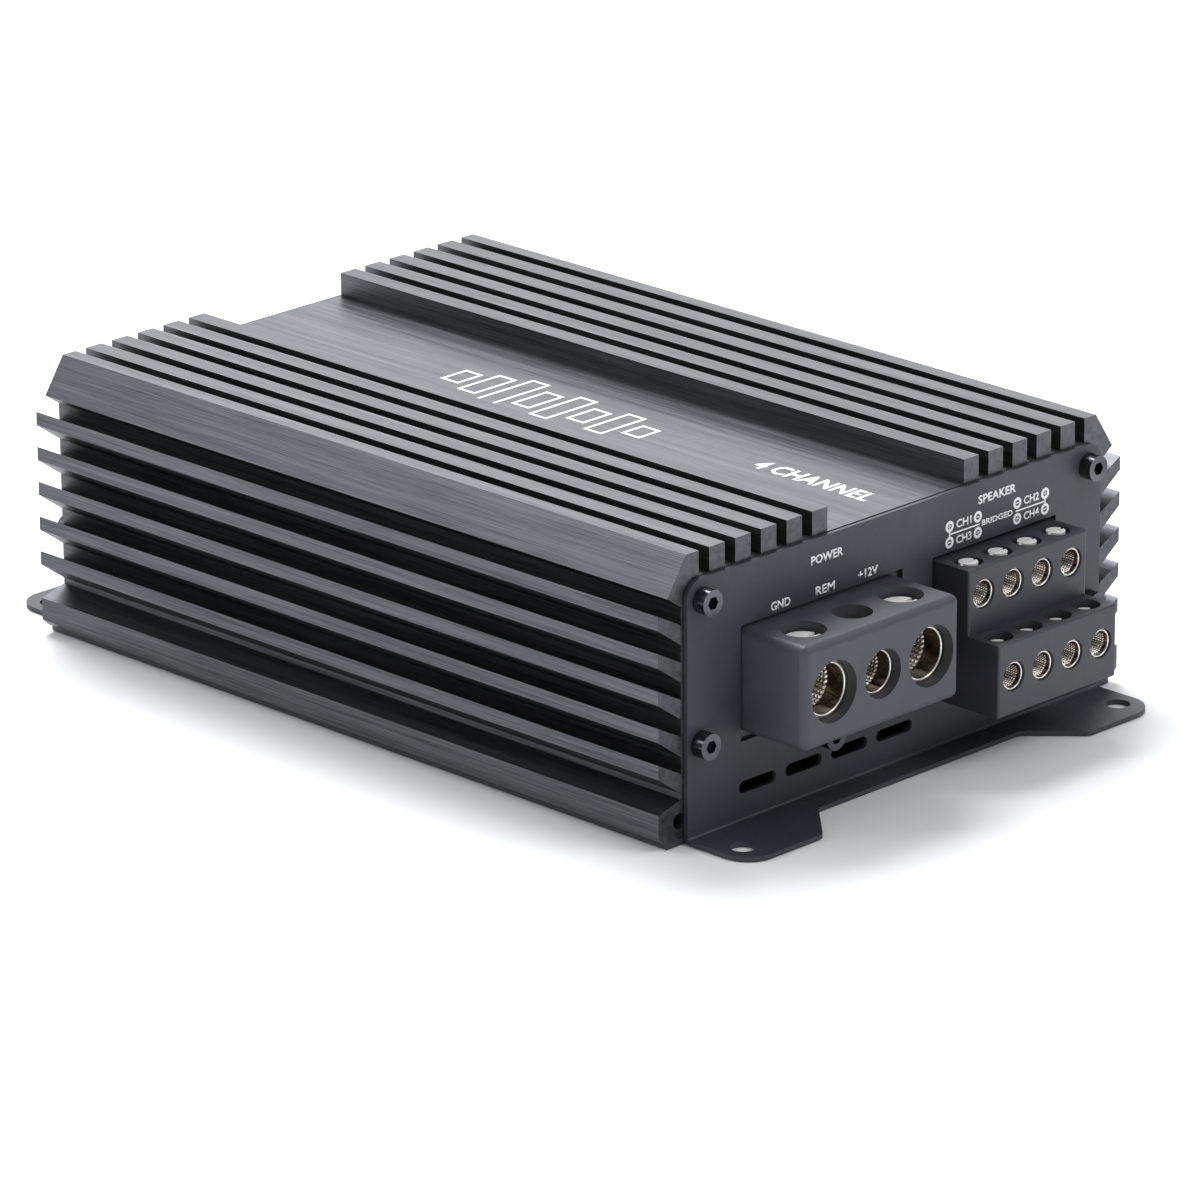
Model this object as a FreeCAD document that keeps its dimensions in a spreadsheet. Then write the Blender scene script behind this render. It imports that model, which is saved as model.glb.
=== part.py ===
"""Four-channel car amplifier: a finned aluminium case with folded end panels, power and
speaker terminal blocks at the front, signal sockets and controls at the rear, and the
circuit boards inside.

Frame: +X across the case, -Y out of the terminal panel, +Z up. The origin is the centre of
the four mounting holes, on the plane that the feet stand on. Millimetres throughout.
"""
import FreeCAD, Part
import os
import re
import Sketcher
from FreeCAD import Placement, Rotation, Vector

SIZES = {
    # case extrusion, seen from its end
    "case_length": 184, "case_base": 1.5, "case_top": 60.5, "slot_floor": 55.3, "ceiling": 50.5,
    "wall_outer": 62, "wall_inner": 57.5, "tip_half": 68.4,
    "recess_half": 20.2, "fin_width": 4.4, "fin_pitch": 7.35,
    "shoulder_top": 60.5, "shoulder_side": 65.75, "shoulder_low": 52.6, "shoulder_root": 50.0,
    "side_fin_top": 49.65, "side_fin_pitch": 7.8, "side_fin_tip": 3.0,
    "side_top_drop": 3.4, "side_under_drop": 4.6,
    "ledge_top": 7.9, "ledge_root": 9.6, "ledge_chamfer": 1.5,
    "top_boss_edge": 53.2, "top_boss_low": 46.6,
    "side_boss_edge": 53.8, "side_boss_low": 16.5, "side_boss_high": 24.5,
    "channel_x": 62.6, "channel_z": 5.2, "channel_r": 1.7,
    # M3 fasteners
    "tap_r": 1.5, "shank_r": 1.48, "clear_r": 1.7, "head_r": 2.75, "head_height": 3.0,
    "hex_across": 2.5, "hex_depth": 1.6, "end_tap_depth": 14, "end_screw_length": 12,
    "top_screw_x": 57.0, "top_screw_z": 50.5, "side_screw_x": 57.5, "side_screw_z": 20.5,
    # folded end panels
    "sheet": 1.0, "panel_half": 61.2, "panel_top": 55.1, "panel_corner": 4.0,
    "bend_inner": 0.6, "bend_outer": 1.6,
    "ear_reach": 16.8, "ear_inner_x": 40.0, "foot_reach": 6.3, "foot_inner_x": 30.2,
    "ear_corner": 6.5, "ear_blend": 2.5, "ear_hole_x": 56.1, "ear_hole_out": 10.2, "ear_hole_r": 2.6,
    "vent_first_x": -41.2, "vent_pitch": 13.35, "vent_half": 4.0, "vent_r": 1.3, "vent_z": 7.9,
    "low_screw_x": -21.4, "low_screw_z": 12.7,
    # bottom cover
    "cover_half": 66, "cover_gap": 0.1, "cover_screw_x": 61, "cover_screw_y": 78,
    "cover_screw_tip": 8, "cover_tap_top": 9, "sink_r": 2.7, "sink_depth": 1.2,
    # power terminal block
    "power_left": -45.6, "power_right": -0.4, "power_low": 19.4, "power_high": 41.4,
    "power_reach": 17.0, "power_edge": 1.7, "power_pitch": 14.15, "power_port_z": 30.4,
    "power_cut_left": -46.1, "power_cut_right": 1.0, "power_cut_low": 17.7, "power_cut_high": 42.3,
    "block_back": -84, "shoulder_gap": 0.2, "shoulder_lap": 1.8, "shoulder_rise": 43.6,
    "main_port_r": 6.5, "main_bore_r": 5.2, "main_recess": 2.4, "main_hole_r": 4.75,
    "main_collar_r": 5.6, "main_screw_r": 4.0, "main_screw_length": 3.9, "main_screw_top": 39.5,
    "remote_port_r": 5.2, "remote_bore_r": 4.2, "remote_recess": 2.2, "remote_hole_r": 4.2,
    "remote_collar_r": 4.5, "remote_screw_r": 3.0, "remote_screw_length": 3.5,
    "remote_screw_top": 38.1,
    "collar_top": 38.2, "barrel_depth": 13.5, "barrel_floor": 1.5, "fit_gap": 0.05,
    "power_slot": 1.2, "power_slot_depth": 1.2,
    "tail_half": 4.0, "tail_thick": 2.0, "tail_out": 1.6,
    # speaker terminal block
    "speaker_left": 10.4, "speaker_right": 46.2, "speaker_low": 11.8, "speaker_step": 27.5,
    "speaker_high": 41.5, "upper_reach": 9.5, "lower_reach": 17.9, "speaker_edge": 0.5,
    "speaker_pitch": 8.85, "upper_port_z": 35.6, "lower_port_z": 20.0,
    "speaker_cut_left": 9.9, "speaker_cut_right": 47.3, "speaker_cut_low": 11.0,
    "speaker_cut_high": 42.2, "speaker_screw_in": 4.4,
    "small_port_r": 3.2, "small_bore_r": 2.6, "small_recess": 0.6, "small_hole_r": 3.1,
    "small_collar_r": 2.9, "small_screw_r": 2.0, "upper_screw_length": 3.3,
    "lower_screw_length": 3.5,
    "upper_screw_top": 41.5, "lower_screw_top": 26.1, "upper_collar_top": 39.8,
    "lower_collar_top": 25.6, "small_depth": 8.0, "small_slot": 0.7, "small_slot_depth": 0.9,
    "pin_half": 0.8, "pin_out": 1.0,
    # main board and what stands on it
    "board_under": 9.0, "board_top": 10.6, "board_half": 56.8, "board_half_length": 90,
    "spacer_r": 3.0, "spacer_x": 46.5, "spacer_y": 70, "spacer_head": 2.2, "spacer_tip": 3.0,
    "core_inner": 9.5, "core_outer": 17.5, "core_height": 12, "winding": 2.6, "wind_gap": 0.1,
    "transformer_x": -22, "transformer_y": -36,
    "choke_inner": 3.0, "choke_outer": 6.2, "choke_height": 9, "choke_wind": 1.5,
    "choke_x": 17.5, "choke_step_x": 17.5, "choke_y": -68, "choke_step_y": 17.5,
    "input_cap_r": 6.25, "input_cap_height": 30, "input_cap_x": -37, "input_cap_step": 15,
    "input_cap_y": -71.5, "rail_cap_r": 8, "rail_cap_height": 35, "rail_cap_x": -33,
    "rail_cap_step": 20, "rail_cap_y": 2, "cap_edge": 1.2,
    "device_width": 10, "device_deep": 4.5, "device_low": 26, "device_high": 41.5,
    "device_pitch": 14, "device_y": -59, "lead_half": 0.4, "lead_x": 53.2, "lead_step": 2.54,
    "pad_thick": 0.2, "bar_thick": 2.0, "bar_low": 30.5, "bar_high": 37.5, "bar_screw_z": 34,
    "bar_tap_end": 61.2, "bar_screw_end": 60.9, "bar_head_r": 2.6, "bar_head": 2.0,
    "chip_x": -26, "chip_step": 17, "chip_y": 34, "chip_half_x": 5, "chip_half_y": 7,
    "chip_height": 2.4,
    # rear sockets and controls
    "jack_x": -44.5, "jack_step_x": 15, "jack_z": 20.5, "jack_step_z": 15.5,
    "jack_left": -52, "jack_right": -22, "jack_back": 74, "jack_low": 10.7, "jack_high": 44,
    "jack_collar_r": 5.6, "jack_collar_out": 1.9, "jack_hole_r": 5.9, "shell_r": 4.15,
    "shell_root_r": 4.6, "shell_inner": 3.7, "shell_out": 10.0, "shell_in": 6, "insert_out": 9.1,
    "contact_r": 2.2, "contact_bore": 1.6, "contact_out": 8.5,
    "control_back": 78.4, "control_front": 80.0, "control_left": -17, "control_right": 52,
    "control_low": 10.7, "control_high": 45.5,
    "knob_x": 2, "knob_step": 14, "knob_z": 36, "knob_r": 3.0, "knob_out": 4.1, "knob_in": 5.5,
    "knob_hole_r": 3.5, "knob_slot": 0.9, "knob_slot_depth": 1.2, "pot_half_x": 5,
    "pot_half_z": 5.5, "pot_front": 90.4,
    "switch_x": 9, "switch_step": 28, "switch_z": 21, "switch_half_x": 7, "switch_half_z": 3.6,
    "switch_front": 91.2, "slider_half_x": 1.5, "slider_half_z": 1.3, "slider_travel": 2.5,
    "slider_out": 3.5, "slider_in": 4.0, "slider_gap": 0.15, "slider_room": 0.5,
    "lamp_x": -12, "lamp_z": 23, "lamp_step": 13, "lamp_r": 1.5, "lamp_hole_r": 1.7,
    "lamp_out": 1.4, "header_half": 1.2, "header_length": 40, "header_height": 4,
    # bracket behind the low panel screw
    "bracket_half": 5, "bracket_thick": 1.5, "bracket_depth": 8, "bracket_high": 16.4,
    "bracket_foot": 0.5,
}

FIN_COUNT = 5
VENT_COUNT = 4
SPEAKER_WAYS = 4

doc = FreeCAD.newDocument("amplifier")
sheet = doc.addObject("Spreadsheet::Sheet", "Dims")
for row, (alias, number) in enumerate(SIZES.items(), start=1):
    sheet.set(f"A{row}", alias)
    sheet.set(f"B{row}", str(number))
    sheet.setAlias(f"B{row}", alias)
doc.recompute()

nodes = {}


# ---------------------------------------------------------------- sheet-bound building blocks
def bound(text):
    """A sheet expression, with every alias pointed at the sheet."""
    words = re.compile(r"[a-z][a-z_]*")
    return words.sub(lambda w: "Dims." + w.group() if w.group() in SIZES else w.group(), str(text))


def size(text):
    """The number that a sheet expression works out to."""
    return float(sheet.evalExpression(str(text)))


def keep(name, thing):
    """Name a finished sub-part, which is written to its own file."""
    thing.Label = name
    nodes[name] = thing
    return thing


def block(name, x, y, z):
    """A box between a low and a high bound on each axis."""
    box = doc.addObject("Part::Box", name)
    for side, axis, (low, high) in (("Length", "x", x), ("Width", "y", y), ("Height", "z", z)):
        box.setExpression(side, bound(f"({high}) - ({low})"))
        box.setExpression(f"Placement.Base.{axis}", bound(low))
    return box


TURNS = {
    "+x": Rotation(Vector(0, 1, 0), 90),
    "-x": Rotation(Vector(0, 1, 0), -90),
    "+y": Rotation(Vector(1, 0, 0), -90),
    "-y": Rotation(Vector(1, 0, 0), 90),
    "+z": Rotation(),
    "-z": Rotation(Vector(1, 0, 0), 180),
}


def set_out(solid, way, start):
    """Turn a solid made along +Z to another way, with its base centre at start."""
    solid.Placement = Placement(Vector(), TURNS[way])
    for axis, text in zip("xyz", start):
        solid.setExpression(f"Placement.Base.{axis}", bound(text))
    return solid


def rod(name, way, start, radius, length):
    """A cylinder that runs from start, the given way."""
    cylinder = doc.addObject("Part::Cylinder", name)
    cylinder.setExpression("Radius", bound(radius))
    cylinder.setExpression("Height", bound(length))
    return set_out(cylinder, way, start)


def cone(name, way, start, radius, end_radius, length):
    """A cone that runs from start, the given way."""
    taper = doc.addObject("Part::Cone", name)
    taper.setExpression("Radius1", bound(radius))
    taper.setExpression("Radius2", bound(end_radius))
    taper.setExpression("Height", bound(length))
    return set_out(taper, way, start)


def hex_bar(name, way, start, across, length):
    """A hexagonal prism, given its width across flats."""
    prism = doc.addObject("Part::Prism", name)
    prism.Polygon = 6
    prism.setExpression("Circumradius", bound(f"({across}) / 2 / cos(30)"))
    prism.setExpression("Height", bound(length))
    return set_out(prism, way, start)


def join(name, pieces):
    """One solid from pieces that touch or overlap."""
    fuse = doc.addObject("Part::MultiFuse", name)
    fuse.Shapes = pieces
    fuse.Refine = True
    return fuse


def cut(name, base, tools):
    """The base less every tool."""
    tool = tools[0] if len(tools) == 1 else join(f"{name}_tools", tools)
    result = doc.addObject("Part::Cut", name)
    result.Base = base
    result.Tool = tool
    return result


def group(name, pieces):
    """Separate solids that share one node."""
    compound = doc.addObject("Part::Compound", name)
    compound.Links = pieces
    return compound


def rounded(name, base, radius, chosen):
    """Fillet the straight edges of base that the test chooses by centre and direction."""
    doc.recompute()
    fillet = doc.addObject("Part::Fillet", name)
    fillet.Base = base
    fillet.Edges = [(index, size(radius), size(radius))
                    for index, edge in enumerate(base.Shape.Edges, start=1)
                    if chosen(edge.CenterOfMass, edge.tangentAt(edge.FirstParameter))]
    return fillet


# ---------------------------------------------------------------- sketches and body features
def new_body(name):
    return doc.addObject("PartDesign::Body", name)


def new_sketch(body, name, role, offset="0"):
    """A sketch on one of the body's own origin planes, moved along its normal."""
    sketch = body.newObject("Sketcher::SketchObject", name)
    plane = next(item for item in body.Origin.OriginFeatures if item.Role == role)
    sketch.AttachmentSupport = (plane, [""])
    sketch.MapMode = "FlatFace"
    sketch.setExpression("AttachmentOffset.Base.z", bound(offset))
    return sketch


def pin_point(sketch, geometry, point, across, up):
    """Hold one point of a sketch at two sheet expressions from the origin."""
    for kind, text in (("DistanceX", across), ("DistanceY", up)):
        index = sketch.addConstraint(
            Sketcher.Constraint(kind, -1, 1, geometry, point, size(text)))
        sketch.setExpression(f"Constraints[{index}]", bound(text))


def draw_outline(sketch, corners):
    """A closed outline of straight sides through pinned corners."""
    first = sketch.GeometryCount
    spots = [Vector(size(across), size(up), 0) for across, up in corners]
    count = len(spots)
    for index in range(count):
        sketch.addGeometry(Part.LineSegment(spots[index], spots[(index + 1) % count]))
    for index in range(count):
        following = first + (index + 1) % count
        sketch.addConstraint(Sketcher.Constraint("Coincident", first + index, 2, following, 1))
    for index, (across, up) in enumerate(corners):
        pin_point(sketch, first + index, 1, across, up)


def draw_circle(sketch, across, up, radius):
    """A pinned circle."""
    middle = Vector(size(across), size(up), 0)
    index = sketch.addGeometry(Part.Circle(middle, Vector(0, 0, 1), size(radius)))
    pin_point(sketch, index, 3, across, up)
    constraint = sketch.addConstraint(Sketcher.Constraint("Radius", index, size(radius)))
    sketch.setExpression(f"Constraints[{constraint}]", bound(radius))


def draw_box(sketch, left, right, low, high):
    """A pinned rectangle."""
    draw_outline(sketch, [(left, low), (right, low), (right, high), (left, high)])


def pad(body, sketch, length):
    """Add the sketch's outline along its plane's normal."""
    feature = body.newObject("PartDesign::Pad", f"{sketch.Name}_pad")
    feature.Profile = sketch
    feature.setExpression("Length", bound(length))
    doc.recompute()
    return feature


def pocket(body, sketch, length, along_normal=False):
    """Cut the sketch's outline out, against its plane's normal unless told otherwise."""
    before = body.Shape.Volume
    feature = body.newObject("PartDesign::Pocket", f"{sketch.Name}_pocket")
    feature.Profile = sketch
    feature.Reversed = along_normal
    feature.setExpression("Length", bound(length))
    doc.recompute()
    if body.Shape.Volume > before - 1e-3:
        raise RuntimeError(f"{sketch.Name} cuts nothing")
    return feature


def near(one, other):
    return abs(one - other) < 0.01


def soften(body, name, radius, chosen):
    """Fillet the body's edges that the test chooses by centre and direction."""
    doc.recompute()
    edges = [f"Edge{index}" for index, edge in enumerate(body.Shape.Edges, start=1)
             if chosen(edge.CenterOfMass, edge.tangentAt(edge.FirstParameter))]
    base = body.Tip
    feature = body.newObject("PartDesign::Fillet", name)
    feature.Base = (base, edges)
    feature.setExpression("Radius", bound(radius))
    doc.recompute()
    return feature


# ---------------------------------------------------------------- case
def case_outline():
    """Corners of the extrusion's section, right half from the top, then mirrored."""
    right = [
        ("recess_half", "slot_floor"),
        ("recess_half", "case_top"),
        ("shoulder_top", "case_top"),
        ("shoulder_side", "shoulder_low"),
        ("wall_outer", "shoulder_root"),
    ]
    for index in range(FIN_COUNT):
        top = f"side_fin_top - {index} * side_fin_pitch"
        right += [
            ("wall_outer", f"{top} - side_top_drop"),
            ("tip_half", top),
            ("tip_half", f"{top} - side_fin_tip"),
            ("wall_outer", f"{top} - side_fin_tip - side_under_drop"),
        ]
    right += [
        ("wall_outer", "ledge_root"),
        ("tip_half", "ledge_top"),
        ("tip_half", "case_base + ledge_chamfer"),
        ("tip_half - ledge_chamfer", "case_base"),
        ("wall_inner", "case_base"),
        ("wall_inner", "side_boss_low"),
        ("side_boss_edge", "side_boss_low"),
        ("side_boss_edge", "side_boss_high"),
        ("wall_inner", "side_boss_high"),
        ("wall_inner", "top_boss_low"),
        ("top_boss_edge", "top_boss_low"),
        ("top_boss_edge", "ceiling"),
    ]
    return right + [(f"-({across})", up) for across, up in reversed(right)]


def end_screw_spots():
    """Where the corner and side screws of both end panels go."""
    return [(f"{side} * {across}", up) for side in (-1, 1)
            for across, up in (("top_screw_x", "top_screw_z"), ("side_screw_x", "side_screw_z"))]


def cover_screw_spots():
    return [(f"{side} * cover_screw_x", f"{row} * cover_screw_y")
            for side in (-1, 1) for row in (-1, 0, 1)]


def bar_screw_rows():
    """Screws of a pressure bar stand between every second pair of power devices."""
    return [f"device_y + {index + 0.5} * device_pitch" for index in (0, 2, 4)]


def make_heatsink_case():
    body = new_body("heatsink_case_body")
    section = new_sketch(body, "case_section", "XZ_Plane", "-case_length / 2")
    draw_outline(section, case_outline())
    pad(body, section, "case_length")
    slots = new_sketch(body, "top_slots", "XZ_Plane", "case_length / 2")
    for index in range(FIN_COUNT):
        near = f"recess_half + fin_width + {index} * fin_pitch"
        far = f"recess_half + {index + 1} * fin_pitch"
        draw_box(slots, near, far, "slot_floor", "case_top + 1")
        draw_box(slots, f"-({far})", f"-({near})", "slot_floor", "case_top + 1")
    pocket(body, slots, "case_length")
    channels = new_sketch(body, "ledge_channels", "XZ_Plane", "case_length / 2")
    for side in (-1, 1):
        draw_circle(channels, f"{side} * channel_x", "channel_z", "channel_r")
    pocket(body, channels, "case_length")
    for end, along_normal in (("front", False), ("rear", True)):
        way = "case_length / 2" if end == "front" else "-case_length / 2"
        holes = new_sketch(body, f"{end}_tappings", "XZ_Plane", way)
        for across, up in end_screw_spots():
            draw_circle(holes, across, up, "tap_r")
        pocket(body, holes, "end_tap_depth", along_normal)
    under = new_sketch(body, "cover_tappings", "XY_Plane", "case_base")
    for across, along in cover_screw_spots():
        draw_circle(under, across, along, "tap_r")
    pocket(body, under, "cover_tap_top - case_base", True)
    for side, along_normal in ((-1, True), (1, False)):
        wall = new_sketch(body, f"bar_tappings_{'left' if side < 0 else 'right'}", "YZ_Plane",
                          f"{side} * wall_inner")
        for along in bar_screw_rows():
            draw_circle(wall, along, "bar_screw_z", "tap_r")
        pocket(body, wall, "bar_tap_end - wall_inner", side > 0)
    return keep("heatsink_case", body)


def make_bottom_cover():
    reach = "case_length / 2 - cover_gap"
    plate = block("cover_plate", ("-cover_half", "cover_half"), (f"-({reach})", reach),
                  ("0", "case_base"))
    holes = []
    screws = []
    for index, (across, along) in enumerate(cover_screw_spots(), start=1):
        place = (across, along, "0")
        holes.append(rod(f"cover_hole_{index}", "+z", place, "clear_r", "case_base"))
        holes.append(cone(f"cover_sink_{index}", "+z", place, "sink_r + 0.1", "clear_r",
                          "sink_depth"))
        head = cone(f"cover_head_{index}", "+z", place, "sink_r", "shank_r", "sink_depth")
        shank = rod(f"cover_shank_{index}", "+z", place, "shank_r", "cover_screw_tip")
        socket = hex_bar(f"cover_socket_{index}", "+z", place, "hex_across - 0.5", "hex_depth / 2")
        screws.append(cut(f"cover_screw_{index}", join(f"cover_blank_{index}", [head, shank]),
                          [socket]))
    keep("bottom_cover", cut("cover", plate, holes))
    keep("bottom_cover_screws", group("cover_screws", screws))


# ---------------------------------------------------------------- end panels
def panel_blank(end, facing):
    """Folded sheet with two rounded ears. facing is -1 at the front and +1 at the rear."""
    body = new_body(f"{end}_panel_body")
    face = new_sketch(body, f"{end}_face", "XZ_Plane", f"{-facing} * case_length / 2"
                      if facing < 0 else "-case_length / 2 - sheet")
    draw_box(face, "-panel_half", "panel_half", "0", "panel_top")
    pad(body, face, "sheet")
    foot = new_sketch(body, f"{end}_foot", "XY_Plane")
    inner = f"{facing} * (case_length / 2)"
    narrow = f"{facing} * (case_length / 2 + sheet + foot_reach)"
    wide = f"{facing} * (case_length / 2 + sheet + ear_reach)"
    right = [("panel_half", inner), ("panel_half", wide), ("ear_inner_x", wide),
             ("foot_inner_x", narrow)]
    draw_outline(foot, right + [(f"-({across})", along) for across, along in reversed(right)])
    pad(body, foot, "sheet")
    top = size("panel_top")
    outer = size("case_length / 2 + sheet")
    tip = size("case_length / 2 + sheet + ear_reach")
    neck = size("case_length / 2 + sheet + foot_reach")
    soften(body, f"{end}_top_corners", "panel_corner",
           lambda c, d: near(abs(d.y), 1) and near(c.z, top))
    soften(body, f"{end}_ear_corners", "ear_corner",
           lambda c, d: near(abs(d.z), 1) and near(abs(c.y), tip) and abs(c.x) > 50)
    soften(body, f"{end}_ear_blends", "ear_blend",
           lambda c, d: near(abs(d.z), 1) and (near(abs(c.y), neck) or near(abs(c.y), tip))
           and abs(c.x) < 50)
    soften(body, f"{end}_fold_inside", "bend_inner",
           lambda c, d: near(abs(d.x), 1) and near(abs(c.y), outer) and near(c.z, size("sheet")))
    soften(body, f"{end}_fold_outside", "bend_outer",
           lambda c, d: near(abs(d.x), 1) and near(abs(c.y), size("case_length / 2"))
           and near(c.z, 0))
    ears = new_sketch(body, f"{end}_ear_holes", "XY_Plane", "sheet")
    for side in (-1, 1):
        draw_circle(ears, f"{side} * ear_hole_x",
                    f"{facing} * (case_length / 2 + sheet + ear_hole_out)", "ear_hole_r")
    pocket(body, ears, "sheet")
    return body


def panel_openings(body, end, facing):
    """A sketch on the panel's outer face and the way that its pocket cuts."""
    outer = "case_length / 2 + sheet" if facing < 0 else "-case_length / 2 - sheet"
    sketch = new_sketch(body, f"{end}_openings", "XZ_Plane", outer)
    for across, up in end_screw_spots():
        draw_circle(sketch, across, up, "clear_r")
    return sketch


def make_front_panel():
    body = panel_blank("front", -1)
    openings = panel_openings(body, "front", -1)
    draw_circle(openings, "low_screw_x", "low_screw_z", "clear_r")
    draw_box(openings, "power_cut_left", "power_cut_right", "power_cut_low", "power_cut_high")
    draw_box(openings, "speaker_cut_left", "speaker_cut_right", "speaker_cut_low",
             "speaker_cut_high")
    pocket(body, openings, "sheet")
    slots = new_sketch(body, "vent_slots", "XZ_Plane", "case_length / 2 + sheet")
    for index in range(VENT_COUNT):
        middle = f"vent_first_x + {index} * vent_pitch"
        draw_box(slots, f"{middle} - vent_half", f"{middle} + vent_half", "vent_z - vent_r",
                 "vent_z + vent_r")
    pocket(body, slots, "sheet")
    ends = new_sketch(body, "vent_ends", "XZ_Plane", "case_length / 2 + sheet")
    for index in range(VENT_COUNT):
        for side in (-1, 1):
            draw_circle(ends, f"vent_first_x + {index} * vent_pitch + {side} * vent_half",
                        "vent_z", "vent_r")
    pocket(body, ends, "sheet")
    keep("front_panel", body)


def make_rear_panel():
    body = panel_blank("rear", 1)
    openings = panel_openings(body, "rear", 1)
    for across, up in jack_spots():
        draw_circle(openings, across, up, "jack_hole_r")
    for across in knob_spots():
        draw_circle(openings, across, "knob_z", "knob_hole_r")
    for across in switch_spots():
        reach = "(slider_half_x + slider_travel + slider_room)"
        draw_box(openings, f"{across} - {reach}", f"{across} + {reach}",
                 "switch_z - slider_half_z - slider_room", "switch_z + slider_half_z + slider_room")
    for up in lamp_spots():
        draw_circle(openings, "lamp_x", up, "lamp_hole_r")
    pocket(body, openings, "sheet", True)
    keep("rear_panel", body)


def socket_screw(name, facing, across, up):
    """Socket-head cap screw standing on an end panel's outer face."""
    inward = "+y" if facing < 0 else "-y"
    outward = "-y" if facing < 0 else "+y"
    face = f"{facing} * (case_length / 2 + sheet)"
    head = rod(f"{name}_head", outward, (across, face, up), "head_r", "head_height")
    shank = rod(f"{name}_shank", inward, (across, face, up), "shank_r", "end_screw_length")
    top = f"{facing} * (case_length / 2 + sheet + head_height)"
    socket = hex_bar(f"{name}_socket", inward, (across, top, up), "hex_across", "hex_depth")
    return cut(name, join(f"{name}_blank", [head, shank]), [socket])


def make_panel_screws():
    front = [socket_screw(f"front_screw_{index}", -1, *spot)
             for index, spot in enumerate(end_screw_spots(), start=1)]
    inward = "+y"
    face = "-(case_length / 2 + sheet)"
    low = ("low_screw_x", face, "low_screw_z")
    head = rod("low_head", "-y", low, "head_r", "head_height")
    shank = rod("low_shank", inward, low, "shank_r", "end_screw_length / 2")
    top = ("low_screw_x", "-(case_length / 2 + sheet + head_height)", "low_screw_z")
    socket = hex_bar("low_socket", inward, top, "hex_across", "hex_depth")
    front.append(cut("front_screw_low", join("low_blank", [head, shank]), [socket]))
    keep("front_panel_screws", group("front_screws", front))
    rear = [socket_screw(f"rear_screw_{index}", 1, *spot)
            for index, spot in enumerate(end_screw_spots(), start=1)]
    keep("rear_panel_screws", group("rear_screws", rear))


def make_front_bracket():
    """Angle on the main board that the low panel screw pulls the panel against."""
    sides = ("low_screw_x - bracket_half", "low_screw_x + bracket_half")
    face = "-case_length / 2"
    upright = block("bracket_upright", sides, (face, f"{face} + bracket_thick"),
                    ("board_top", "bracket_high"))
    foot = block("bracket_foot", sides, (face, f"{face} + bracket_depth"),
                 ("board_top", "board_top + bracket_foot"))
    hole = rod("bracket_hole", "+y", ("low_screw_x", face, "low_screw_z"), "tap_r",
               "bracket_thick")
    keep("front_bracket", cut("bracket", join("bracket_blank", [upright, foot]), [hole]))


# ---------------------------------------------------------------- power terminal block
POWER_WAYS = (("ground", -1, "main"), ("remote", 0, "remote"), ("battery", 1, "main"))
POWER_MIDDLE = "(power_left + power_right) / 2"
PANEL_FACE = "(-case_length / 2 - sheet)"


def barrel_front(reach, recess):
    return f"{PANEL_FACE} - {reach} + {recess}"


def make_power_block():
    """Housing whose shoulder is held behind the panel, with a lined port for each way."""
    face = f"{PANEL_FACE} - power_reach"
    nose = block("power_nose", ("power_left", "power_right"), (face, "block_back"),
                 ("power_low", "power_high"))
    front = size(face)
    nose = rounded("power_nose_soft", nose, "power_edge",
                   lambda c, d: near(c.y, front) or near(abs(d.y), 1))
    shoulder = block("power_shoulder",
                     ("power_cut_left - shoulder_lap", "power_cut_right + shoulder_lap"),
                     ("-case_length / 2 + shoulder_gap", "block_back"),
                     ("board_top", "shoulder_rise"))
    recess = block("power_bracket_recess",
                   ("low_screw_x - bracket_half - 1", "low_screw_x + bracket_half + 1"),
                   ("-case_length / 2", "block_back"), ("board_top", "bracket_high + 0.6"))
    shoulder = cut("power_shoulder_cut", shoulder, [recess])
    housing = join("power_housing", [nose, shoulder])
    tools = []
    barrels = []
    for way, place, kind in POWER_WAYS:
        across = f"({POWER_MIDDLE} + {place} * power_pitch)"
        upright = f"({PANEL_FACE} - power_reach / 2)"
        port = (across, face, "power_port_z")
        tools.append(rod(f"{way}_port", "+y", port, f"{kind}_port_r", "barrel_depth + 0.5"))
        middle = (across, upright, "power_port_z")
        tools.append(rod(f"{way}_well", "+z", middle, f"{kind}_collar_r + fit_gap",
                         "collar_top - power_port_z + 0.1"))
        tools.append(rod(f"{way}_top_hole", "+z", middle, f"{kind}_hole_r",
                         "power_high - power_port_z + 1"))
        half = "tail_half" if kind == "main" else "tail_half / 2"
        tools.append(block(f"{way}_tail_slot",
                           (f"{across} - {half} - fit_gap", f"{across} + {half} + fit_gap"),
                           (f"{face} + barrel_depth", "block_back + 1"),
                           ("power_port_z - tail_thick / 2 - fit_gap",
                            "power_port_z + tail_thick / 2 + fit_gap")))
        barrels.append(power_barrel(way, kind, across, upright, half))
    keep("power_block", cut("power_case", housing, tools))
    keep("power_barrels", group("power_barrel_set", barrels))


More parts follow.
